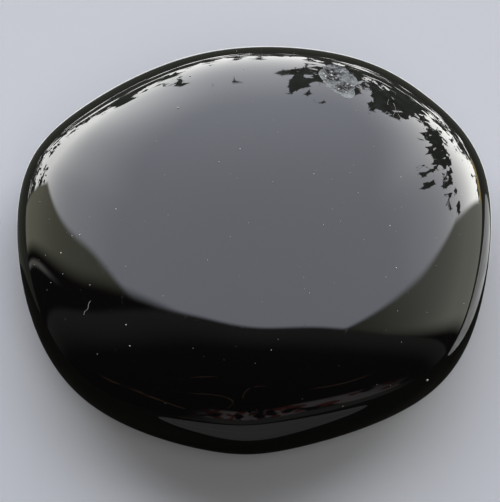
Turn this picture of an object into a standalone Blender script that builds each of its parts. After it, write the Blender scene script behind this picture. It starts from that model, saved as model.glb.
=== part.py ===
"""Obsidian palm stone: one tumbled and polished piece of volcanic glass, with a small chip near its rim.

Lengths are in millimetres here and turned into metres by MM. +X is the stone's long way, +Z is up,
and z = 0 is the small flat spot that it rests on.
"""

import math

import bmesh
import bpy
from mathutils import Matrix, Vector

MM = 0.001

# Overall size of the polished stone
LENGTH = 60.0
DEPTH = 59.2
HEIGHT = 18.8

# The outline seen from above, in twelve directions: degrees round from +X, how far the cage reaches, and
# how full that side is. The near side (-Y) is the full one, and the stone thins towards the far side.
OUTLINE = (
    (20, 31.1, 0.95),
    (45, 29.7, 0.91),
    (66, 30.3, 0.88),
    (104, 30.0, 0.87),
    (142, 29.4, 0.90),
    (162, 30.8, 0.92),
    (195, 29.1, 0.90),
    (227, 31.5, 1.00),
    (261, 30.0, 1.36),
    (276, 29.4, 1.38),
    (314, 30.8, 1.05),
    (341, 28.4, 0.96),
)

# The cage's rings from the crown down to the resting spot: share of the outline, height where the side
# is of fullness 1, and how far the ring's centre lies off the axis in X and Y
CROWN = (0.77, 14.4, -0.3, -0.4)
SHOULDER = (0.972, 11.2, 0.0, 0.2)
WAIST = (1.02, 7.6, 0.0, -0.2)
BELLY = (0.96, 2.0, 0.2, 0.0)
FOOT = (0.56, 0.0, 0.4, -0.2)
REST = (0.40, 0.0, 0.4, -0.2)

# The crest inside the crown: its centre in X and Y, its height there, and its fall for each mm of +Y
CREST = (-0.3, -2.4, 19.2)
CREST_FALL = 0.08
CROWN_CELLS = 3
SUBDIVISIONS = 3

# The chip in the far right shoulder is a main scoop with three smaller ones round it. CHIP_PLACE is its
# middle in X and Y. Each scoop has its place from that middle, across and up the slope, then its half
# width and half length, its depth, and its turn in degrees.
CHIP_PLACE = (11.1, 21.1)
CHIP_SCOOPS = (
    ((-0.35, 0.5), (2.1, 3.3), 0.75, 18),
    ((0.75, -2.1), (1.05, 1.45), 0.45, 10),
    ((-1.6, 1.3), (1.25, 1.5), 0.50, 0),
    ((1.3, 0.2), (0.95, 1.3), 0.40, 0),
)
# How far a scoop's ball has its middle above the surface, as a share of the scoop's depth
SCOOP_LIFT = 0.6
SCOOP_FINENESS = 3

OBSIDIAN_COLOUR = (0.006, 0.006, 0.007, 1.0)
OBSIDIAN_ROUGHNESS = 0.04
OBSIDIAN_IOR = 1.49


def clear_scene():
    for obj in list(bpy.data.objects):
        bpy.data.objects.remove(obj, do_unlink=True)


def new_collection(name, hidden=False):
    collection = bpy.data.collections.new(name)
    collection.hide_render = hidden
    bpy.context.scene.collection.children.link(collection)
    return collection


def obsidian_material():
    material = bpy.data.materials.new("polished_obsidian")
    material.use_nodes = True
    shader = material.node_tree.nodes["Principled BSDF"]
    shader.inputs["Base Color"].default_value = OBSIDIAN_COLOUR
    shader.inputs["Roughness"].default_value = OBSIDIAN_ROUGHNESS
    shader.inputs["IOR"].default_value = OBSIDIAN_IOR
    material.diffuse_color = OBSIDIAN_COLOUR
    return material


def angle_round(vertex):
    return math.atan2(vertex.co.y, vertex.co.x) % math.tau


def place_ring(vertices, ring):
    """Moves twelve cage points, in order round the stone, onto one ring of the profile."""
    share, height, shift_x, shift_y = ring
    for vertex, (degrees, reach, fullness) in zip(vertices, OUTLINE):
        angle = math.radians(degrees)
        vertex.co.x = (shift_x + reach * share * math.cos(angle)) * MM
        vertex.co.y = (shift_y + reach * share * math.sin(angle)) * MM
        vertex.co.z = height * fullness * MM


def place_crest(vertices):
    """Lifts the crown's four inner points to the crest, which falls away from the full near side."""
    for vertex in vertices:
        fall = CREST_FALL * vertex.co.y
        vertex.co += Vector(CREST) * MM
        vertex.co.z -= fall


def stone_cage():
    """A crown of nine faces, extruded ring by ring down to the resting spot."""
    cage = bmesh.new()
    half_crown = CROWN[0] * LENGTH / 2 * MM
    bmesh.ops.create_grid(
        cage, x_segments=CROWN_CELLS, y_segments=CROWN_CELLS, size=half_crown
    )
    edge = sorted((v for v in cage.verts if v.is_boundary), key=angle_round)
    place_crest([v for v in cage.verts if not v.is_boundary])
    place_ring(edge, CROWN)
    for ring in (SHOULDER, WAIST, BELLY, FOOT, REST):
        rim = [e for e in cage.edges if e.is_boundary]
        made = bmesh.ops.extrude_edge_only(cage, edges=rim)["geom"]
        edge = sorted((v for v in made if isinstance(v, bmesh.types.BMVert)), key=angle_round)
        place_ring(edge, ring)
    bmesh.ops.contextual_create(cage, geom=edge)
    bmesh.ops.recalc_face_normals(cage, faces=cage.faces)
    return cage


def fit_to_size(obj):
    """Scales the cage so that the smooth stone measures LENGTH x DEPTH x HEIGHT, centred, on z = 0."""
    graph = bpy.context.evaluated_depsgraph_get()
    points = [v.co for v in obj.evaluated_get(graph).to_mesh().vertices]
    low = Vector([min(p[axis] for p in points) for axis in range(3)])
    high = Vector([max(p[axis] for p in points) for axis in range(3)])
    scale = [size * MM / span for size, span in zip((LENGTH, DEPTH, HEIGHT), high - low)]
    centre = (low + high) / 2
    centre.z = low.z
    obj.data.transform(Matrix.Diagonal((*scale, 1.0)) @ Matrix.Translation(-centre))


def add_subdivision(obj):
    smooth = obj.modifiers.new("smooth_stone", "SUBSURF")
    smooth.levels = SUBDIVISIONS
    smooth.render_levels = SUBDIVISIONS


def add_stone(collection):
    mesh = bpy.data.meshes.new("obsidian_stone")
    cage = stone_cage()
    cage.to_mesh(mesh)
    cage.free()
    stone = bpy.data.objects.new("obsidian_stone", mesh)
    collection.objects.link(stone)
    mesh.shade_smooth()
    mesh.materials.append(obsidian_material())
    add_subdivision(stone)
    fit_to_size(stone)
    return stone


def surface_under(obj, place):
    """Where a straight drop onto the smooth stone lands, and the outward normal there."""
    graph = bpy.context.evaluated_depsgraph_get()
    start = Vector((place[0] * MM, place[1] * MM, 2 * HEIGHT * MM))
    hit, point, normal, _ = obj.evaluated_get(graph).ray_cast(start, Vector((0, 0, -1)))
    if not hit:
        raise ValueError("the chip lies off the stone")
    return point, normal


def add_scoop(collection, number, frame, scoop):
    """A flattened ball whose lower cap cuts one shallow scoop of the given depth."""
    (across, along), (half_width, half_length), depth, turn = scoop
    spread = (1 + SCOOP_LIFT) / math.sqrt((1 + SCOOP_LIFT) ** 2 - SCOOP_LIFT**2)
    ball = bmesh.new()
    bmesh.ops.create_icosphere(ball, subdivisions=SCOOP_FINENESS, radius=1.0)
    size = (half_width * spread * MM, half_length * spread * MM, depth * (1 + SCOOP_LIFT) * MM)
    ball.transform(Matrix.Diagonal((*size, 1.0)))
    mesh = bpy.data.meshes.new(f"scoop_{number}")
    ball.to_mesh(mesh)
    ball.free()
    cutter = bpy.data.objects.new(f"scoop_{number}", mesh)
    offset = Vector((across, along, depth * SCOOP_LIFT)) * MM
    turned = Matrix.Rotation(math.radians(turn), 4, "Z")
    cutter.matrix_world = frame @ Matrix.Translation(offset) @ turned
    cutter.hide_render = True
    cutter.display_type = "WIRE"
    collection.objects.link(cutter)
    return cutter


def chip_frame(stone):
    """The chip's own axes: X across the slope, Y up the slope, Z out of the stone."""
    point, out = surface_under(stone, CHIP_PLACE)
    across = (Vector((1, 0, 0)) - out * out.x).normalized()
    axes = Matrix((across, out.cross(across), out)).transposed().to_4x4()
    return Matrix.Translation(point) @ axes


def cut_chip(stone, cutters):
    frame = chip_frame(stone)
    for number, scoop in enumerate(CHIP_SCOOPS, start=1):
        cut = stone.modifiers.new(f"chip_{number}", "BOOLEAN")
        cut.operation = "DIFFERENCE"
        cut.solver = "EXACT"
        cut.object = add_scoop(cutters, number, frame, scoop)


def main():
    clear_scene()
    parts = new_collection("obsidian_palm_stone")
    cutters = new_collection("cutters", hidden=True)
    stone = add_stone(parts)
    cut_chip(stone, cutters)


main()
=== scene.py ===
# %% [markdown]
# # A polished obsidian palm stone
#
# Obsidian is volcanic glass: lava that cooled too fast to form crystals. Tumbled and polished it is a black
# mirror, so most of what the eye reads is its surroundings, bent by its shape. This notebook models the
# stone from a cage of twelve-sided rings, cuts the small bruised chip near its rim, lays a little dust and
# lint on it, and then builds the light that the mirror shows.

import math
import random

import bmesh
import bpy
from mathutils import Matrix, Vector


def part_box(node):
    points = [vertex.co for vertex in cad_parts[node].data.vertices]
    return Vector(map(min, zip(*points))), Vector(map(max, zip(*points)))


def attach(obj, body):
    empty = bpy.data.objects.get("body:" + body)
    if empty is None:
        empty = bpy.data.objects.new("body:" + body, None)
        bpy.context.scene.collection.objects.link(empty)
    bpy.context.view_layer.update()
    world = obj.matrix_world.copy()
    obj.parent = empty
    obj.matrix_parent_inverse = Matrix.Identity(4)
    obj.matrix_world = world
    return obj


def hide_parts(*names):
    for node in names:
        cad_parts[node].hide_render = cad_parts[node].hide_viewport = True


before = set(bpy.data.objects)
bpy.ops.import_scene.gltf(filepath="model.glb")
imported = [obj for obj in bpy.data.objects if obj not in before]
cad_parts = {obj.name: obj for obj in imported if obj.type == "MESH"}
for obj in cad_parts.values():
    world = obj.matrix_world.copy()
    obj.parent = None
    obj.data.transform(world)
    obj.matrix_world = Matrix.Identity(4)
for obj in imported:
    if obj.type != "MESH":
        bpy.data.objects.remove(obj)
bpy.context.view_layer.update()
MM = 0.001

low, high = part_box("obsidian_stone")
STONE_LENGTH = (high.x - low.x) / MM
print("stone, mm:", [round(size / MM, 2) for size in high - low])

# %% [markdown]
# ## Working by hand, in code
#
# Every Blender operator acts on what is selected. Loading the frame leaves its nodes selected, so each
# piece starts with nothing selected, and points are then picked by where they lie.

# %% Helpers for picking
def start_clean():
    """Leaves edit mode and selects nothing."""
    if bpy.context.mode != "OBJECT":
        bpy.ops.object.mode_set(mode="OBJECT")
    bpy.ops.object.select_all(action="DESELECT")


def only(piece):
    """Selects one piece and makes it the active one."""
    start_clean()
    piece.select_set(True)
    bpy.context.view_layer.objects.active = piece


def pick_points(wanted):
    """In edit mode, selects only the points that are wanted, and returns how many there are."""
    bpy.ops.mesh.select_all(action="DESELECT")
    mesh = bmesh.from_edit_mesh(bpy.context.edit_object.data)
    chosen = [point for point in mesh.verts if wanted(point)]
    for point in chosen:
        point.select_set(True)
    mesh.select_flush(True)
    bmesh.update_edit_mesh(bpy.context.edit_object.data)
    return len(chosen)


def apply_modifiers(piece):
    only(piece)
    for modifier in list(piece.modifiers):
        bpy.ops.object.modifier_apply(modifier=modifier.name)


# %% [markdown]
# ## The stone's shape
#
# A tumbled stone has no flat faces and no edges. A sphere squashed to size would be too regular, and
# sculpting would be hard to repeat. A coarse cage smoothed by subdivision keeps the form in a few numbers:
# the outline in twelve directions, and how wide and how high each ring of it lies. The stone is thick on
# its near side, where it is held, and thins to a narrow edge on the far side.

# %% The outline and the rings
# Degrees round from +X, how far the cage reaches in mm, and how full that side is
OUTLINE = (
    (20, 31.1, 0.95),
    (45, 29.7, 0.91),
    (66, 30.3, 0.88),
    (104, 30.0, 0.87),
    (142, 29.4, 0.90),
    (162, 30.8, 0.92),
    (195, 29.1, 0.90),
    (227, 31.5, 1.00),
    (261, 30.0, 1.36),
    (276, 29.4, 1.38),
    (314, 30.8, 1.05),
    (341, 28.4, 0.96),
)

# Each ring from the crown down: share of the outline, height in mm, and its middle in X and Y
RINGS = {
    "crown": (0.77, 14.4, -0.3, -0.4),
    "shoulder": (0.972, 11.2, 0.0, 0.2),
    "waist": (1.02, 7.6, 0.0, -0.2),
    "belly": (0.96, 2.0, 0.2, 0.0),
    "foot": (0.56, 0.0, 0.4, -0.2),
    "rest": (0.40, 0.0, 0.4, -0.2),
}
CROWN_CELLS = 3

# The crest inside the crown: its middle in X and Y, its height there, and its fall for each mm of +Y
CREST = (-0.3, -2.4, 19.2)
CREST_FALL = 0.08

# %% A grid becomes the crown
def outline_place(direction, ring):
    degrees, reach, fullness = direction
    share, height, middle_x, middle_y = ring
    x = middle_x + reach * share * math.cos(math.radians(degrees))
    y = middle_y + reach * share * math.sin(math.radians(degrees))
    return Vector((x, y, height * fullness)) * MM


def angle_round(point):
    return math.atan2(point.co.y, point.co.x) % math.tau


def pull_point(number, target):
    """Selects one point of the cage and moves it to its target."""
    pick_points(lambda point: point.index == number)
    mesh = bmesh.from_edit_mesh(bpy.context.edit_object.data)
    mesh.verts.ensure_lookup_table()
    bpy.ops.transform.translate(value=target - mesh.verts[number].co)


def make_crown():
    start_clean()
    bpy.ops.mesh.primitive_grid_add(
        x_subdivisions=CROWN_CELLS,
        y_subdivisions=CROWN_CELLS,
        size=RINGS["crown"][0] * STONE_LENGTH * MM,
    )
    stone = bpy.context.object
    stone.name = "polished_stone"
    bpy.ops.object.mode_set(mode="EDIT")
    mesh = bmesh.from_edit_mesh(stone.data)
    rim = sorted((point for point in mesh.verts if point.is_boundary), key=angle_round)
    rim = [point.index for point in rim]
    for number, direction in zip(rim, OUTLINE):
        pull_point(number, outline_place(direction, RINGS["crown"]))
    inner = pick_points(lambda point: not point.is_boundary)
    bpy.ops.transform.translate(value=Vector(CREST) * MM)
    print("crown:", len(rim), "points round it and", inner, "inside")
    return stone


def tip_crest():
    """Lowers the far crest points and lifts the near ones, so the crown falls towards the far side."""
    row = RINGS["crown"][0] * STONE_LENGTH / 2 / CROWN_CELLS
    for side in (-1, 1):
        pick_points(lambda point: not point.is_boundary and (point.co.y / MM - CREST[1]) * side > 0)
        bpy.ops.transform.translate(value=(0, 0, -CREST_FALL * row * side * MM))


stone = make_crown()
tip_crest()

# %% Extrude the rings down to the spot it rests on
def extrude_ring(upper, lower):
    """Extrudes the selected rim, then scales and moves it from the upper ring to the lower one."""
    share, height, middle_x, middle_y = upper
    new_share, new_height, new_x, new_y = lower
    wider = new_share / share
    flatter = new_height / height if height else 1
    bpy.ops.mesh.extrude_edges_move()
    bpy.ops.transform.resize(
        value=(wider, wider, flatter), center_override=(middle_x * MM, middle_y * MM, 0)
    )
    bpy.ops.transform.translate(value=((new_x - middle_x) * MM, (new_y - middle_y) * MM, 0))


rings = list(RINGS.values())
pick_points(lambda point: point.is_boundary)
for upper, lower in zip(rings, rings[1:]):
    extrude_ring(upper, lower)
bpy.ops.mesh.edge_face_add()
bpy.ops.mesh.select_all(action="SELECT")
bpy.ops.mesh.normals_make_consistent(inside=False)
bpy.ops.object.mode_set(mode="OBJECT")
print("cage:", len(stone.data.vertices), "points,", len(stone.data.polygons), "faces")

# %% Smooth the cage and fit it to the frame
SMOOTHING = 5


def fit_to_box(piece, low, high):
    """Scales and moves a piece until its own box is the box from low to high."""
    only(piece)
    points = [point.co for point in piece.data.vertices]
    least = Vector([min(point[axis] for point in points) for axis in range(3)])
    most = Vector([max(point[axis] for point in points) for axis in range(3)])
    piece.scale = [(high[axis] - low[axis]) / (most[axis] - least[axis]) for axis in range(3)]
    piece.location = [low[axis] - least[axis] * piece.scale[axis] for axis in range(3)]
    bpy.ops.object.transform_apply(location=True, rotation=True, scale=True)


smooth = stone.modifiers.new("tumbled smooth", "SUBSURF")
smooth.levels = SMOOTHING
smooth.render_levels = SMOOTHING
apply_modifiers(stone)
fit_to_box(stone, low, high)
bpy.ops.object.shade_smooth()
print("smooth stone:", len(stone.data.polygons), "faces")

# %% [markdown]
# ## The chip
#
# A knock near the far rim has bruised the glass. Glass breaks in shallow shells, and where it is crushed it
# turns to white powder. Painting the chip on would leave it flat under a mirror polish, so it is cut. Each
# scoop is a flattened ball, roughened before it cuts, and what it leaves takes the ball's own material.

# %% Find the chip's place on the slope
CHIP_PLACE = (11.1, 21.1)


def drop_onto(piece, x, y):
    """Where a straight drop in mm lands on a piece, and the way out of its surface there."""
    start = Vector((x * MM, y * MM, 1))
    hit, point, out, _ = piece.ray_cast(start, Vector((0, 0, -1)))
    if not hit:
        raise ValueError("nothing lies under the drop")
    return point, out


def slope_axes(piece, x, y):
    """Axes of the slope: X across it, Y up it, Z out of the stone."""
    point, out = drop_onto(piece, x, y)
    across = (Vector((1, 0, 0)) - out * out.x).normalized()
    turned = Matrix((across, out.cross(across), out)).transposed().to_4x4()
    return Matrix.Translation(point) @ turned


chip_axes = slope_axes(stone, *CHIP_PLACE)
print("chip, mm:", [round(length / MM, 2) for length in chip_axes.translation])

# %% Shape and roughen the scoops
# Place across and up the slope, half width and half length, depth, turn in degrees, and roughness in mm
SCOOPS = {
    "crushed_middle": ((-0.35, 0.5), (2.1, 3.3), 0.75, 18, 0.22),
    "lower_shell": ((0.75, -2.1), (1.05, 1.45), 0.45, 10, 0.05),
    "left_shell": ((-1.6, 1.3), (1.25, 1.5), 0.50, 0, 0.10),
    "right_shell": ((1.3, 0.2), (0.95, 1.3), 0.40, 0, 0.06),
}
# How far a ball has its middle above the surface, as a share of its scoop's depth
SCOOP_LIFT = 0.6
SCOOP_FINENESS = 6
CRUMB_SIZE = 0.55


def make_scoop(name, scoop):
    (across, along), (half_width, half_length), depth, turn, roughness = scoop
    spread = (1 + SCOOP_LIFT) / math.sqrt((1 + SCOOP_LIFT) ** 2 - SCOOP_LIFT**2)
    start_clean()
    bpy.ops.mesh.primitive_ico_sphere_add(subdivisions=SCOOP_FINENESS, radius=1)
    ball = bpy.context.object
    ball.name = name
    ball.scale = Vector((half_width * spread, half_length * spread, depth * (1 + SCOOP_LIFT))) * MM
    bpy.ops.object.transform_apply(location=True, rotation=True, scale=True)
    offset = Matrix.Translation(Vector((across, along, depth * SCOOP_LIFT)) * MM)
    ball.matrix_world = chip_axes @ offset @ Matrix.Rotation(math.radians(turn), 4, "Z")
    bpy.ops.object.transform_apply(location=True, rotation=True, scale=True)
    crumbs = bpy.data.textures.new(name, "CLOUDS")
    crumbs.noise_scale = CRUMB_SIZE * MM
    crumbs.noise_depth = 3
    rough = ball.modifiers.new("crushed", "DISPLACE")
    rough.texture = crumbs
    rough.texture_coords = "LOCAL"
    rough.strength = roughness * 2 * MM
    rough.mid_level = 0.5
    apply_modifiers(ball)
    return ball


scoops = [make_scoop(name, scoop) for name, scoop in SCOOPS.items()]
print("scoops:", [len(scoop.data.polygons) for scoop in scoops])

# %% [markdown]
# ## Materials
#
# One function turns the hex colours that a paint program shows into the linear values that Blender mixes,
# and one adds a node with its settings and its inputs. Everything else is plain node names.

# %% Colour and node helpers
def linear(hex_colour, strength=1.0):
    """An sRGB colour such as "#1a1b1f" as linear red, green, blue and alpha, times a strength."""
    parts = [int(hex_colour[start : start + 2], 16) / 255 for start in (1, 3, 5)]
    lit = [part / 12.92 if part <= 0.04045 else ((part + 0.055) / 1.055) ** 2.4 for part in parts]
    return (*(part * strength for part in lit), 1.0)


def add_node(tree, kind, inputs=(), **settings):
    """Adds one node. Its inputs are values, outputs or whole nodes, in its own order or by name."""
    node = tree.nodes.new("ShaderNode" + kind)
    for name, value in settings.items():
        setattr(node, name, value)
    for name, value in inputs.items() if isinstance(inputs, dict) else enumerate(inputs):
        if isinstance(value, bpy.types.Node):
            value = value.outputs[0]
        if isinstance(value, bpy.types.NodeSocket):
            tree.links.new(value, node.inputs[name])
        else:
            node.inputs[name].default_value = value
    return node


def new_material(name):
    material = bpy.data.materials.new(name)
    material.use_nodes = True
    material.node_tree.nodes.clear()
    return material, material.node_tree


# %% [markdown]
# ### Obsidian, tumbled and polished
#
# Volcanic glass of about 70% silica, black from fine iron. The last tumbling with tin oxide leaves a mirror,
# so the roughness is close to nothing. What keeps it from looking like a computer's mirror is small: a slow
# wave left by the tumbling, a faint grease from hands, and hairline scratches that scatter a little light.

# %% Polished obsidian
SMEAR_SIZE = 9.0
WAVE_SIZE = 14.0
WAVE_DEPTH = 0.02
# Real hairlines are too fine to show, so these are drawn coarser and further apart
HAIRLINE_SPACING = 5.0
# How much of the noise round its middle value is scratched, and how rough a scratch is
HAIRLINE_WIDTH = 0.0015
HAIRLINE_ROUGHNESS = 0.10


def polished_obsidian():
    material, tree = new_material("obsidian tumbled and polished")
    place = add_node(tree, "TexCoord").outputs["Object"]
    smears = add_node(
        tree,
        "TexNoise",
        {
            "Vector": place,
            "Scale": 1 / (SMEAR_SIZE * MM),
            "Detail": 3.0,
            "Roughness": 0.6,
            "Distortion": 1.2,
        },
    )
    gloss = add_node(tree, "MapRange", (smears, 0.45, 0.75, 0.015, 0.05))
    stretched = add_node(tree, "Mapping", {"Vector": place, "Rotation": (0, 0, 0.6), "Scale": (1, 0.12, 1)})
    hairs = add_node(
        tree, "TexNoise", {"Vector": stretched, "Scale": 1 / (HAIRLINE_SPACING * MM), "Detail": 4.0}
    )
    off_hair = add_node(tree, "Math", (hairs, -0.5), operation="ADD")
    off_hair = add_node(tree, "Math", (off_hair,), operation="ABSOLUTE")
    scratched = add_node(tree, "MapRange", (off_hair, 0.0, HAIRLINE_WIDTH, HAIRLINE_ROUGHNESS, 0.0))
    roughness = add_node(tree, "Math", (gloss, scratched), operation="ADD")
    wave = add_node(tree, "TexNoise", {"Vector": place, "Scale": 1 / (WAVE_SIZE * MM), "Detail": 0.0})
    bump = add_node(tree, "Bump", {"Height": wave, "Strength": 1.0, "Distance": WAVE_DEPTH * MM})
    shader = add_node(
        tree,
        "BsdfPrincipled",
        {"Base Color": linear("#050404"), "Roughness": roughness, "IOR": 1.49, "Normal": bump},
    )
    add_node(tree, "OutputMaterial", (shader,))
    return material


# %% [markdown]
# ### Bruised obsidian
#
# Where the glass is crushed it is full of tiny cracks, and each one scatters light, so black glass turns
# frosty grey. In the two places that took the blow some crumbs stayed whole and black, and a few are
# painted pale grey as a glint of the sky. Away from them the break is a clean pale shell with fine ripples.

# %% Bruised obsidian
CRUMB_WIDTH = 0.28
POWDER_SIZE = 0.7
RIPPLE_STEP = 0.42
RIPPLE_SHARE = 0.18
BREAK_RELIEF = 0.12
# The two blows and the point the ripples spread from: across the chip, up it, and out of it
BLOWS = ((-1.0, 1.7, -0.4), (0.45, -0.55, -0.4))
BLOW_REACH = 1.7
RIPPLE_START = (0.2, 0.2, 0.0)


def near_a_blow(tree, place):
    """1 at the middle of a blow, falling to 0 at its reach."""
    shares = []
    for blow in BLOWS:
        centre = chip_axes @ (Vector(blow) * MM)
        gap = add_node(tree, "VectorMath", (place, centre), operation="DISTANCE").outputs["Value"]
        shares.append(add_node(tree, "MapRange", (gap, 0.35 * BLOW_REACH * MM, BLOW_REACH * MM, 1.0, 0.0)))
    return add_node(tree, "Math", shares, operation="MAXIMUM")


def bruised_obsidian():
    material, tree = new_material("obsidian bruised by a knock")
    place = add_node(tree, "TexCoord").outputs["Object"]
    crushed = near_a_blow(tree, place)
    powder = add_node(
        tree,
        "TexNoise",
        {"Vector": place, "Scale": 1 / (POWDER_SIZE * MM), "Detail": 5.0, "Roughness": 0.7},
    )
    frost = add_node(tree, "MapRange", (powder, 0.35, 0.65))
    shell = add_node(tree, "Mix", {0: frost, 6: linear("#5e6060"), 7: linear("#7b7e7e")}, data_type="RGBA")
    dull = add_node(tree, "Mix", {0: frost, 6: linear("#3a3a3b"), 7: linear("#5f5f5e")}, data_type="RGBA")
    shell = add_node(tree, "Mix", {0: crushed, 6: shell.outputs[2], 7: dull.outputs[2]}, data_type="RGBA")
    crumbs = add_node(tree, "TexVoronoi", {"Vector": place, "Scale": 1 / (CRUMB_WIDTH * MM)})
    luck = add_node(tree, "SeparateColor", (crumbs.outputs["Color"],))
    whole = add_node(tree, "Math", (luck, 0.5), operation="LESS_THAN")
    black = add_node(tree, "Math", (whole, crushed), operation="MULTIPLY")
    # Painted glint: a few crumbs near the blows turn pale grey, in place of faces that reflect the sky
    painted_glint = add_node(tree, "Math", (luck, 0.9), operation="GREATER_THAN")
    painted_glint = add_node(tree, "Math", (painted_glint, crushed), operation="MULTIPLY")
    mixed = add_node(
        tree, "Mix", {0: black, 6: shell.outputs[2], 7: linear("#0b0a0c")}, data_type="RGBA"
    )
    # The pale grey of the painted glint
    mixed = add_node(tree, "Mix", {0: painted_glint, 6: mixed.outputs[2], 7: linear("#a4a5a2")}, data_type="RGBA")
    start = chip_axes @ (Vector(RIPPLE_START) * MM)
    gap = add_node(tree, "VectorMath", (place, start), operation="DISTANCE").outputs["Value"]
    turns = add_node(tree, "Math", (gap, math.tau / (RIPPLE_STEP * MM)), operation="MULTIPLY")
    ripple = add_node(tree, "Math", (turns,), operation="SINE")
    calm = add_node(tree, "Math", (ripple, RIPPLE_SHARE), operation="MULTIPLY")
    relief = add_node(tree, "Math", (crushed, crumbs.outputs["Distance"], calm), operation="MULTIPLY_ADD")
    bump = add_node(tree, "Bump", {"Height": relief, "Strength": 0.9, "Distance": BREAK_RELIEF * MM})
    shader = add_node(
        tree,
        "BsdfPrincipled",
        {"Base Color": mixed.outputs[2], "Roughness": 0.5, "Specular IOR Level": 0.12, "Normal": bump},
    )
    add_node(tree, "OutputMaterial", (shader,))
    return material


# %% Cut the chip
def cut_scoop(piece, scoop):
    cut = piece.modifiers.new(scoop.name, "BOOLEAN")
    cut.operation = "DIFFERENCE"
    cut.solver = "EXACT"
    cut.material_mode = "TRANSFER"
    cut.object = scoop


stone.data.materials.append(polished_obsidian())
bruise = bruised_obsidian()
for scoop in scoops:
    scoop.data.materials.append(bruise)
    cut_scoop(stone, scoop)
apply_modifiers(stone)
for scoop in scoops:
    bpy.data.objects.remove(scoop)
print("cut stone:", len(stone.data.polygons), "faces, materials", [m.name for m in stone.data.materials])

# %% Keep the edge of the break sharp
def crisp_break(piece):
    """Marks the edges between polish and break sharp, so that the polish stays a true mirror up to them."""
    only(piece)
    bpy.ops.object.mode_set(mode="EDIT")
    mesh = bmesh.from_edit_mesh(piece.data)
    for edge in mesh.edges:
        kinds = {face.material_index for face in edge.link_faces}
        edge.smooth = len(kinds) == 1
    bmesh.update_edit_mesh(piece.data)
    bpy.ops.object.mode_set(mode="OBJECT")


crisp_break(stone)
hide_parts("obsidian_stone")
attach(stone, "root")

# %% [markdown]
# ## The camera
#
# The stone is looked down on steeply from its near side, through a long lens that keeps its outline true.

# %% Camera
CAMERA_ELEVATION = 60.0
CAMERA_DISTANCE = 300.0
CAMERA_AIM = (-0.54, -1.34, 7.31)
CAMERA_LENS = 172.3
SENSOR_WIDTH = 36.0
PICTURE_WIDTH, PICTURE_HEIGHT = 500, 502


def make_camera():
    start_clean()
    tilt = math.radians(CAMERA_ELEVATION)
    back = Vector((0, -math.cos(tilt), math.sin(tilt))) * CAMERA_DISTANCE
    bpy.ops.object.camera_add(
        location=(Vector(CAMERA_AIM) + back) * MM, rotation=(math.radians(90) - tilt, 0, 0)
    )
    camera = bpy.context.object
    camera.name = "camera"
    camera.data.sensor_fit = "HORIZONTAL"
    camera.data.sensor_width = SENSOR_WIDTH
    camera.data.lens = CAMERA_LENS
    camera.data.clip_start = 0.01
    camera.data.clip_end = 10.0
    bpy.context.scene.camera = camera
    bpy.context.view_layer.update()
    return camera


camera = make_camera()

# %% [markdown]
# ## Dust and lint
#
# A black mirror shows every speck. The larger crumbs are an eighth to a third of a millimetre wide, and lint
# from a cloth is a curled fibre a millimetre or two long. Both lie on the surface, so each is placed where a
# line of sight from the camera meets the stone, and the finest dust is dropped at random all over the top.

# %% Where a line of sight meets the stone
def seen_on_stone(across, down):
    """The point of the stone seen at a pixel, counted from the top left, and the way out there."""
    scale = SENSOR_WIDTH / CAMERA_LENS / PICTURE_WIDTH
    aim = Vector(((across - PICTURE_WIDTH / 2) * scale, (PICTURE_HEIGHT / 2 - down) * scale, -1))
    sight = camera.matrix_world.to_3x3() @ aim
    hit, point, out, _ = stone.ray_cast(camera.matrix_world.translation, sight.normalized())
    if not hit:
        raise ValueError(f"nothing is seen at {across}, {down}")
    return point, out


# %% One crumb, copied
CRUMB_SEEDS = random.Random(7)
# Where the larger crumbs are seen, and how wide each is in mm
CRUMBS_SEEN = {
    "far_rim": ((190, 76), 0.24),
    "far_slope": ((178, 108), 0.26),
    "sky_top": ((240, 149), 0.18),
    "sky_middle": ((219, 162), 0.16),
    "sky_left": ((116, 209), 0.18),
    "sky_right": ((314, 174), 0.15),
    "below_chip": ((358, 193), 0.14),
    "right_high": ((401, 177), 0.16),
    "right_middle": ((390, 226), 0.16),
    "right_low": ((396, 268), 0.20),
    "wall_pair_left": ((72, 236), 0.12),
    "wall_pair_right": ((80, 235), 0.18),
    "wall_bright": ((61, 253), 0.20),
    "wall_foot": ((63, 274), 0.13),
    "wall_low": ((90, 285), 0.16),
    "near_left": ((126, 325), 0.18),
    "near_left_low": ((130, 346), 0.16),
    "near_right": ((427, 380), 0.30),
}
FINE_DUST_COUNT = 110
FINE_DUST_WIDTHS = (0.05, 0.11)
# How far out the fine dust lies, as a share of half the stone's length
FINE_DUST_REACH = 0.93
# How far a crumb's points are moved at random in mm, and its width, depth and height beside a ball's
CRUMB_LUMPS = 0.12
CRUMB_FORM = (1, 0.8, 0.55)
# How far a crumb's middle stands off the surface, as a share of its width
CRUMB_LIFT = 0.2
DUST_MOTTLE = 4.0


def house_dust():
    """Skin, lint and grit: pale, matt and a little warm."""
    material, tree = new_material("house dust")
    place = add_node(tree, "TexCoord").outputs["Object"]
    mottle = add_node(tree, "TexNoise", {"Vector": place, "Scale": 1 / (DUST_MOTTLE * MM), "Detail": 1.0})
    tone = add_node(tree, "Mix", {0: mottle, 6: linear("#8f8a80"), 7: linear("#d9d7d0")}, data_type="RGBA")
    shader = add_node(tree, "BsdfPrincipled", {"Base Color": tone.outputs[2], "Roughness": 0.85})
    add_node(tree, "OutputMaterial", (shader,))
    return material


def make_crumb():
    """A lumpy grain 1 mm wide, flatter than it is wide."""
    start_clean()
    bpy.ops.mesh.primitive_ico_sphere_add(subdivisions=2, radius=0.5 * MM)
    crumb = bpy.context.object
    bpy.ops.object.mode_set(mode="EDIT")
    bpy.ops.mesh.select_all(action="SELECT")
    bpy.ops.transform.vertex_random(offset=CRUMB_LUMPS * MM, seed=3)
    bpy.ops.transform.resize(value=CRUMB_FORM)
    bpy.ops.object.mode_set(mode="OBJECT")
    bpy.ops.object.shade_smooth()
    return crumb


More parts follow.
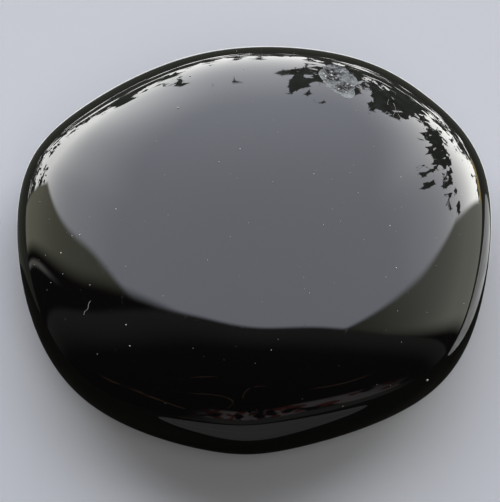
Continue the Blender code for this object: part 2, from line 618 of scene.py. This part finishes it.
def lay_crumb(crumb, point, out, width):
    """Lays a copy of the crumb on the surface, turned at random and sunk a little so that it touches."""
    copy = crumb.copy()
    copy.data = crumb.data.copy()
    bpy.context.collection.objects.link(copy)
    turn = Matrix.Rotation(CRUMB_SEEDS.uniform(0, math.tau), 4, "Z")
    stand = out.to_track_quat("Z", "Y").to_matrix().to_4x4()
    lift = Matrix.Translation(point + out * width * CRUMB_LIFT * MM)
    copy.matrix_world = lift @ stand @ turn @ Matrix.Scale(width, 4)
    return copy


def join_as(pieces, name, material):
    """Joins pieces into one whose object sits at the origin."""
    start_clean()
    for piece in pieces:
        piece.select_set(True)
    bpy.context.view_layer.objects.active = pieces[0]
    bpy.ops.object.join()
    bpy.ops.object.transform_apply(location=True, rotation=True, scale=True)
    joined = bpy.context.object
    joined.name = name
    joined.data.materials.clear()
    joined.data.materials.append(material)
    return joined


crumb = make_crumb()
laid = [lay_crumb(crumb, *seen_on_stone(*place), width) for place, width in CRUMBS_SEEN.values()]
while len(laid) < len(CRUMBS_SEEN) + FINE_DUST_COUNT:
    angle = CRUMB_SEEDS.uniform(0, math.tau)
    reach = math.sqrt(CRUMB_SEEDS.random()) * FINE_DUST_REACH * STONE_LENGTH / 2
    point, out = drop_onto(stone, reach * math.cos(angle), reach * math.sin(angle))
    laid.append(lay_crumb(crumb, point, out, CRUMB_SEEDS.uniform(*FINE_DUST_WIDTHS)))
bpy.data.objects.remove(crumb)
dust = join_as(laid, "dust", house_dust())
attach(dust, "root")
print("dust:", len(laid), "crumbs,", len(dust.data.polygons), "faces")

# %% Lint fibres
# The places in the picture that each fibre passes through, and its thickness in mm
FIBRES_SEEN = {
    "curled_fibre": (((91, 301), (88, 303), (89, 307), (87, 311), (84, 311), (84, 315)), 0.05),
    "fine_hook": (((389, 100), (387, 102), (388, 105)), 0.035),
    "fine_curve": (((393, 103), (396, 107), (396, 111), (393, 116)), 0.03),
    "fine_end": (((398, 114), (400, 117), (402, 119)), 0.03),
    "chip_splinter": (((356, 86.5), (361, 89.5)), 0.09),
}

# How far a fibre's middle stands off the surface, as a share of its thickness
FIBRE_LIFT = 0.4
LINT_MOTTLE = 0.4


def cotton_lint():
    """Loose cotton: a white fibre, matt and half clear, so it looks pale grey on black."""
    material, tree = new_material("cotton lint")
    place = add_node(tree, "TexCoord").outputs["Object"]
    mottle = add_node(tree, "TexNoise", {"Vector": place, "Scale": 1 / (LINT_MOTTLE * MM), "Detail": 2.0})
    tone = add_node(tree, "Mix", {0: mottle, 6: linear("#807d77"), 7: linear("#b0ada6")}, data_type="RGBA")
    shader = add_node(tree, "BsdfPrincipled", {"Base Color": tone.outputs[2], "Roughness": 0.7})
    add_node(tree, "OutputMaterial", (shader,))
    return material


def make_fibre(name, places, thickness):
    """A smooth curve through places on the stone, with a round section that rests on the surface."""
    route = bpy.data.curves.new(name, "CURVE")
    route.dimensions = "3D"
    route.bevel_depth = thickness / 2 * MM
    route.bevel_resolution = 2
    route.use_fill_caps = True
    line = route.splines.new("NURBS")
    line.points.add(len(places) - 1)
    for knot, (across, down) in zip(line.points, places):
        point, out = seen_on_stone(across, down)
        knot.co = (*(point + out * thickness * FIBRE_LIFT * MM), 1)
    line.order_u = min(4, len(places))
    line.use_endpoint_u = True
    fibre = bpy.data.objects.new(name, route)
    bpy.context.collection.objects.link(fibre)
    only(fibre)
    bpy.ops.object.convert(target="MESH")
    return bpy.context.object


fibres = [make_fibre(name, *fibre) for name, fibre in FIBRES_SEEN.items()]
lint = join_as(fibres, "lint", cotton_lint())
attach(lint, "root")
print("lint:", len(fibres), "fibres")

# %% [markdown]
# ## The floor and the light
#
# Black glass shows what is round it, so its light is built as surroundings: a wide pale sky on the far
# side, leaves hanging into it, a dull wall on each side, and a dark room behind the camera.

# %% Floor
FLOOR_RADIUS = 2000.0
SHEET_POINTS = 128


def matt_floor():
    """Emulsion paint on board: pale, even and without gloss."""
    material, tree = new_material("floor painted matt")
    shader = add_node(
        tree,
        "BsdfPrincipled",
        {"Base Color": linear("#b0b1b4"), "Roughness": 0.9, "Specular IOR Level": 0.1},
    )
    add_node(tree, "OutputMaterial", (shader,))
    return material


def lay_sheet(name, middle, half_size, height, material):
    """An oval sheet lying level: its middle and half size in mm, and its height over the floor."""
    start_clean()
    bpy.ops.mesh.primitive_circle_add(vertices=SHEET_POINTS, radius=1, fill_type="NGON")
    sheet = bpy.context.object
    sheet.name = name
    bpy.ops.transform.resize(value=(half_size[0] * MM, half_size[1] * MM, 1))
    bpy.ops.transform.translate(value=(middle[0] * MM, middle[1] * MM, low.z + height * MM))
    bpy.ops.object.transform_apply(location=True, rotation=True, scale=True)
    sheet.data.materials.append(material)
    return sheet


lay_sheet("floor", (0, 0), (FLOOR_RADIUS, FLOOR_RADIUS), 0.0, matt_floor())

# %% [markdown]
# A studio lays paper round a glossy object, just out of view, to draw lines along its rim. These sheets lie
# on the floor where only mirror rays meet them, so the floor itself stays plain. Dark paper all round makes
# the rim black; near the stone it is painted shade, which the rim shows in place of the shadowed ground
# there.
# A white piece under the far side draws one thin pale line along it, and a grey piece in front shows in the
# full near side. The white pieces carry painted light: their colour is made brighter than white paper can
# be.

# %% Papers that only the mirror sees
# Middle across and away, half size, colour, and a painted light factor that multiplies the colour: above 1
# the paper is painted brighter than white paper can be.
# Each lies on the one before
PAPERS = {
    # Near the stone this dark paper is painted shade: the rim mirrors it in place of the shadowed ground
    # there
    "near_dark": ((0, 0), (FLOOR_RADIUS, FLOOR_RADIUS), "#30302b", 1.0),
    "far_dark": ((0, 1000), (1000, 1000), "#686b5f", 1.0),
    "far_white": ((0, 11), (33, 33), "#f4f3ee", 1.6),
    "right_white": ((90, 2), (55, 27), "#f4f3ee", 1.6),
    "near_grey": ((4, -200), (90, 159), "#949392", 1.0),
}
PAPER_STEP = 0.1
STREAK_WIDTH = 6.0


def paper_with_painted_light_and_shade(colour, painted_light_factor):
    """Uncoated paper: matt and without gloss, with faint streaks from the rollers that pressed it."""
    material, tree = new_material("paper with painted light and shade")
    place = add_node(tree, "TexCoord").outputs["Object"]
    drawn = add_node(tree, "Mapping", {"Vector": place, "Scale": (0.1, 1, 1)})
    streaks = add_node(tree, "TexNoise", {"Vector": drawn, "Scale": 1 / (STREAK_WIDTH * MM), "Detail": 3.0})
    tone = add_node(tree, "MapRange", (streaks, 0.3, 0.7, 0.75, 1.15))
    # Colour times the painted light factor: for the white papers this is painted light
    shaded = add_node(tree, "HueSaturation", {"Value": tone, "Color": linear(colour, painted_light_factor)})
    shader = add_node(tree, "BsdfDiffuse", (shaded,))
    add_node(tree, "OutputMaterial", (shader,))
    return material


for step, (name, (middle, half_size, colour, painted_light_factor)) in enumerate(PAPERS.items(), 2):
    paper = lay_sheet(name, middle, half_size, step * PAPER_STEP, paper_with_painted_light_and_shade(colour, painted_light_factor))
    paper.visible_camera = False
    paper.visible_diffuse = False
    paper.visible_shadow = False

# %% [markdown]
# ### A soft lamp behind the camera
#
# The sky lights the stone from the far side, so the floor in front of it would be too dark. A wide lamp
# lifts it. It is hidden from mirror rays, because the near side of the stone shows only darkness.

# %% Lamp
LAMP_PLACE = (0.15, -0.55, 0.75)
LAMP_WIDTH = 0.7
LAMP_POWER = 3.0


def make_lamp():
    start_clean()
    towards = -Vector(LAMP_PLACE)
    bpy.ops.object.light_add(
        type="AREA", location=LAMP_PLACE, rotation=towards.to_track_quat("-Z", "Y").to_euler()
    )
    lamp = bpy.context.object
    lamp.name = "soft_lamp"
    lamp.data.size = LAMP_WIDTH
    lamp.data.energy = LAMP_POWER
    lamp.visible_glossy = False


make_lamp()

# %% [markdown]
# ### The surroundings
#
# The world shader sees only a direction: x to the right, y away, z up. The bearing is how far that is to
# the right of straight ahead, in radians, and the height is z, from 0 at the horizon to 1 overhead. A wall
# or a roof edge is a plane through the stone, so it is a dot product that is 0 on the edge.

# %% Direction, bearing and height
world = bpy.data.worlds.new("garden table")
bpy.context.scene.world = world
world.use_nodes = True
air = world.node_tree
air.nodes.clear()
direction = add_node(air, "TexCoord").outputs["Generated"]
parts = add_node(air, "SeparateXYZ", (direction,)).outputs
height = parts["Z"]
bearing = add_node(air, "Math", (parts["X"], parts["Y"]), operation="ARCTAN2")
SOFT = {"interpolation_type": "SMOOTHSTEP"}

# %% Sky
# An overcast sky, and its glow near the horizon, which reaches higher and is stronger on the sunny right
SKY_HIGH = linear("#edf1ff", 3.3)
SKY_LOW = linear("#fffffb", 14.6)
GLOW_DEPTH = 0.45

left_glow = add_node(air, "MapRange", (bearing, -0.04, -0.72, 0.36, 0.63), **SOFT)
right_glow = add_node(air, "MapRange", (bearing, 0.12, 0.68, 0.0, 0.29), **SOFT)
glow_top = add_node(air, "Math", (left_glow, right_glow), operation="ADD")
under = add_node(air, "Math", (glow_top, height), operation="SUBTRACT")
glow = add_node(air, "MapRange", (under, 0.0, GLOW_DEPTH), **SOFT)
most = add_node(air, "MapRange", (bearing, 0.25, 0.65, 0.62, 1.0), **SOFT)
glow = add_node(air, "Math", (glow, most), operation="MINIMUM")
sky = add_node(air, "Mix", {0: glow, 6: SKY_HIGH, 7: SKY_LOW}, data_type="RGBA").outputs[2]

# %% [markdown]
# A tree hangs into the view from both sides and a hedge closes the horizon. Noise alone makes soft blobs,
# so spiky cells roughen their edges: a Voronoi distance with a Minkowski exponent under 1 draws stars,
# which read as leaf tips.

# %% Ragged edges
tips = add_node(
    air, "TexVoronoi", {"Vector": direction, "Scale": 20.0, "Exponent": 0.5}, distance="MINKOWSKI"
)
clumps = add_node(air, "TexNoise", {"Vector": direction, "Scale": 6.0, "Detail": 2.0})
sprigs = add_node(air, "TexNoise", {"Vector": direction, "Scale": 26.0, "Detail": 4.0, "Roughness": 0.7})
sprays = add_node(air, "Math", (sprigs, 0.13), operation="MULTIPLY")
ragged = add_node(air, "Math", (tips, -0.05, sprays), operation="MULTIPLY_ADD")

# %% Leaves
LEAF_LIGHT = linear("#f2fff0", 0.50)
LEAF_DARK = linear("#f4fff0", 0.07)

# Half the width of the blur at a leaf's edge
LEAF_BLUR = 0.003
GAP_BEARING = 0.17

# The branch's middle line: lowest on the left, level straight ahead, and climbing to the right
middle = add_node(air, "MapRange", (bearing, -0.30, -0.15, 0.14, 0.24), **SOFT)
right_climb = add_node(air, "MapRange", (bearing, 0.36, 0.80, 0.015, 0.27), **SOFT)
left_climb = add_node(air, "MapRange", (bearing, -0.50, -0.90, 0.0, 0.16), **SOFT)
branch = add_node(air, "Math", (middle, right_climb), operation="ADD")
branch = add_node(air, "Math", (branch, left_climb), operation="ADD")
above = add_node(air, "Math", (height, branch), operation="SUBTRACT")
off_branch = add_node(air, "Math", (above,), operation="ABSOLUTE")
right_full = add_node(air, "MapRange", (bearing, -0.02, 0.14, 0.0, 0.086), **SOFT)
right_thin = add_node(air, "MapRange", (bearing, 0.55, 0.88, 0.0, -0.062), **SOFT)
left_full = add_node(air, "MapRange", (bearing, -0.22, -0.42, 0.0, 0.035), **SOFT)
thickness = add_node(air, "Math", (clumps, 0.30, -0.14), operation="MULTIPLY_ADD")
thickness = add_node(air, "Math", (thickness, ragged), operation="ADD")
thickness = add_node(air, "Math", (thickness, 0.025), operation="MINIMUM")
for part in (right_full, right_thin, left_full):
    thickness = add_node(air, "Math", (thickness, part), operation="ADD")
spare = add_node(air, "Math", (thickness, off_branch), operation="SUBTRACT")
hanging = add_node(air, "MapRange", (spare, -LEAF_BLUR, LEAF_BLUR))

# The hedge dips a little to the right of straight ahead, stands tall beyond it, and ends low on the right
off_gap = add_node(air, "Math", (bearing, GAP_BEARING), operation="SUBTRACT")
off_gap = add_node(air, "Math", (off_gap,), operation="ABSOLUTE")
gap = add_node(air, "MapRange", (off_gap, 0.05, 0.13, -0.05, 0.0), **SOFT)
hedge_top = add_node(air, "Math", (clumps, 0.30, -0.03), operation="MULTIPLY_ADD")
left_tall = add_node(air, "MapRange", (bearing, -0.05, -0.35, 0.0, 0.08), **SOFT)
right_tall = add_node(air, "MapRange", (bearing, 0.02, 0.20, 0.0, 0.20), **SOFT)
right_fall = add_node(air, "MapRange", (bearing, 0.36, 0.50, 0.0, -0.08), **SOFT)
right_low = add_node(air, "MapRange", (bearing, 0.70, 0.84, 0.0, -0.10), **SOFT)
for part in (ragged, gap, left_tall, right_tall, right_fall, right_low):
    hedge_top = add_node(air, "Math", (hedge_top, part), operation="ADD")
spare = add_node(air, "Math", (hedge_top, height), operation="SUBTRACT")
hedge = add_node(air, "MapRange", (spare, -LEAF_BLUR, LEAF_BLUR))

# Long low slits where the sky shows between the hedge's layers
flattened = add_node(air, "Mapping", {"Vector": direction, "Scale": (1, 1, 6)})
layers = add_node(air, "TexNoise", {"Vector": flattened, "Scale": 7.0, "Detail": 2.0})
slits = add_node(air, "MapRange", (layers, 0.58, 0.61, 1.0, 0.0))
hedge = add_node(air, "Math", (hedge, slits), operation="MULTIPLY")

leaves = add_node(air, "Math", (hanging, hedge), operation="MAXIMUM")
shade = add_node(air, "TexNoise", {"Vector": direction, "Scale": 30.0, "Detail": 3.0})
leaf_tone = add_node(air, "Mix", {0: shade, 6: LEAF_DARK, 7: LEAF_LIGHT}, data_type="RGBA").outputs[2]
garden = add_node(air, "Mix", {0: leaves, 6: sky, 7: leaf_tone}, data_type="RGBA").outputs[2]

# %% Dry grass, low on the right, which gives the rim there a golden line
DRY_GRASS = linear("#ffe8a6", 2.8)

low_down = add_node(air, "MapRange", (height, 0.10, 0.06), **SOFT)
to_the_right = add_node(air, "MapRange", (bearing, 0.74, 0.86), **SOFT)
grass = add_node(air, "Math", (low_down, to_the_right), operation="MULTIPLY")
garden = add_node(air, "Mix", {0: grass, 6: garden, 7: DRY_GRASS}, data_type="RGBA").outputs[2]

# %% [markdown]
# Planes close the view: a dull wall on the left, one on the right, each with its own top edge, and the
# edge of a roof overhead. A pale pipe shines where the left wall ends.

# %% Walls
LEFT_WALL = linear("#ffffe4", 1.5)
RIGHT_WALL = linear("#fcffee", 1.85)
WALL_TOP = linear("#f9ffe6", 0.31)
ROOM_DARK = linear("#fff5ef", 0.03)
PIPE_SHINE = linear("#fffdf8", 1.1)


# Half the width of the blur at each edge
WALL_BLUR = 0.02
WALL_END_BLUR = 0.03
BEHIND_BLUR = 0.08
ROOF_BLUR = 0.018
# How far behind the wall's end the pipe stands, and half its width
PIPE_PLACE = 0.052
PIPE_WIDTH = 0.018
# Each plane's way out, towards its open side
PLANES = {
    "left_wall_top": (1.0, 0.705, 0.676),
    "left_wall_side": (0.6, 1.0, -0.425),
    "right_wall_top": (-1.045, 1.0, 0.562),
    "right_wall_side": (-0.604, 1.0, -0.076),
    "wall_end": (0.404, 1.0, -0.128),
    "straight_behind": (-0.12, 1.0, -0.1),
    "roof_edge": (0.11, 1.0, -0.344),
    "shelf_side": (0.25, -1.0, 0.0),
}
leans = {}
for name, way_out in PLANES.items():
    lean = add_node(air, "VectorMath", (direction, way_out), operation="DOT_PRODUCT")
    leans[name] = lean.outputs["Value"]


def close_off(view, edge, softness, hidden):
    """Hides a view behind something on the closed side of an edge."""
    shown = add_node(air, "MapRange", (edge, -softness, softness), **SOFT)
    return add_node(air, "Mix", {0: shown, 6: hidden, 7: view}, data_type="RGBA").outputs[2]


left_fade = add_node(air, "MapRange", (height, 0.30, 0.80), **SOFT)
left_wall = add_node(air, "Mix", {0: left_fade, 6: LEFT_WALL, 7: WALL_TOP}, data_type="RGBA").outputs[2]
right_fade = add_node(air, "MapRange", (height, 0.36, 0.80), **SOFT)
right_wall = add_node(air, "Mix", {0: right_fade, 6: RIGHT_WALL, 7: WALL_TOP}, data_type="RGBA").outputs[2]
left_open = add_node(air, "Math", (leans["left_wall_top"], leans["left_wall_side"]), operation="MAXIMUM")
garden = close_off(garden, left_open, WALL_BLUR, left_wall)
right_open = add_node(air, "Math", (leans["right_wall_top"], leans["right_wall_side"]), operation="MAXIMUM")
garden = close_off(garden, right_open, WALL_BLUR, right_wall)
garden = close_off(garden, leans["wall_end"], WALL_END_BLUR, ROOM_DARK)
off_pipe = add_node(air, "Math", (leans["wall_end"], PIPE_PLACE), operation="ADD")
off_pipe = add_node(air, "Math", (off_pipe,), operation="ABSOLUTE")
pipe = add_node(air, "MapRange", (off_pipe, 0.0, PIPE_WIDTH, 1.0, 0.0), **SOFT)
pipe_foot = add_node(air, "MapRange", (height, 0.52, 0.34), **SOFT)
pipe = add_node(air, "Math", (pipe, pipe_foot), operation="MULTIPLY")
left_side = add_node(air, "MapRange", (bearing, -0.90, -1.0))
pipe = add_node(air, "Math", (pipe, left_side), operation="MULTIPLY")
garden = add_node(air, "Mix", {0: pipe, 6: garden, 7: PIPE_SHINE}, data_type="RGBA").outputs[2]
garden = close_off(garden, leans["straight_behind"], BEHIND_BLUR, ROOM_DARK)

# %% [markdown]
# Behind the camera is a dark room. A few dim warm shapes in it keep the near side of the stone from
# looking like a hole.

# %% The room behind the camera
ROOF_EDGE = linear("#fffffa", 0.17)
ROOM_WARM = linear("#ffcfae", 0.42)
ROOM_GREY = linear("#fffffa", 0.17)
SHELF_LIGHT = linear("#fff3f6", 0.50)
SHELF_RED = linear("#ff9c90", 0.30)

roof_fade = add_node(air, "MapRange", (leans["roof_edge"], -0.28, 0.0), **SOFT)
room = add_node(air, "Mix", {0: roof_fade, 6: ROOM_DARK, 7: ROOF_EDGE}, data_type="RGBA").outputs[2]

# Lit outlines of things in the dark: thin lines where a smooth noise passes its middle value
shapes = add_node(air, "TexNoise", {"Vector": direction, "Scale": 1.7, "Detail": 0.0})
off_line = add_node(air, "Math", (shapes, -0.5), operation="ADD")
off_line = add_node(air, "Math", (off_line,), operation="ABSOLUTE")
outline = add_node(air, "MapRange", (off_line, 0.0, 0.012, 1.0, 0.0))
worn = add_node(air, "TexNoise", {"Vector": direction, "Scale": 5.0, "Detail": 2.0})
worn = add_node(air, "MapRange", (worn, 0.46, 0.60), **SOFT)
deep = add_node(air, "MapRange", (leans["roof_edge"], -0.40, -0.60), **SOFT)
for share in (worn, deep):
    outline = add_node(air, "Math", (outline, share), operation="MULTIPLY")
room = add_node(air, "Mix", {0: outline, 6: room, 7: ROOM_WARM}, data_type="RGBA").outputs[2]

# A shelf of small things across the room, over a grey table top
shelf_ends = add_node(air, "MapRange", (leans["shelf_side"], 0.62, 0.86), **SOFT)
table = add_node(air, "MapRange", (height, 0.16, 0.10), **SOFT)
table = add_node(air, "Math", (table, shelf_ends), operation="MULTIPLY")
room = add_node(air, "Mix", {0: table, 6: room, 7: ROOM_GREY}, data_type="RGBA").outputs[2]
shelf_top = add_node(air, "MapRange", (height, 0.36, 0.31), **SOFT)
shelf_foot = add_node(air, "MapRange", (height, 0.10, 0.15), **SOFT)
things = add_node(air, "TexNoise", {"Vector": direction, "Scale": 7.0, "Detail": 1.0})
shelf = add_node(air, "MapRange", (things, 0.36, 0.50), **SOFT)
for share in (shelf_top, shelf_foot, shelf_ends):
    shelf = add_node(air, "Math", (shelf, share), operation="MULTIPLY")
kinds = add_node(air, "TexNoise", {"Vector": direction, "Scale": 11.0, "Detail": 0.0})
red = add_node(air, "MapRange", (kinds, 0.50, 0.56))
goods = add_node(air, "Mix", {0: red, 6: SHELF_LIGHT, 7: SHELF_RED}, data_type="RGBA").outputs[2]
room = add_node(air, "Mix", {0: shelf, 6: room, 7: goods}, data_type="RGBA").outputs[2]
surroundings = close_off(garden, leans["roof_edge"], ROOF_BLUR, room)

# %% What the camera itself sees behind the stone is a plain pale wall
BACKDROP = linear("#c9cacb")

seen = add_node(air, "LightPath").outputs["Is Camera Ray"]
shown = add_node(air, "Mix", {0: seen, 6: surroundings, 7: BACKDROP}, data_type="RGBA").outputs[2]
lit = add_node(air, "Background", {"Color": shown, "Strength": 1.0})
add_node(air, "OutputWorld", (lit,))
bpy.context.scene.view_settings.view_transform = "Standard"
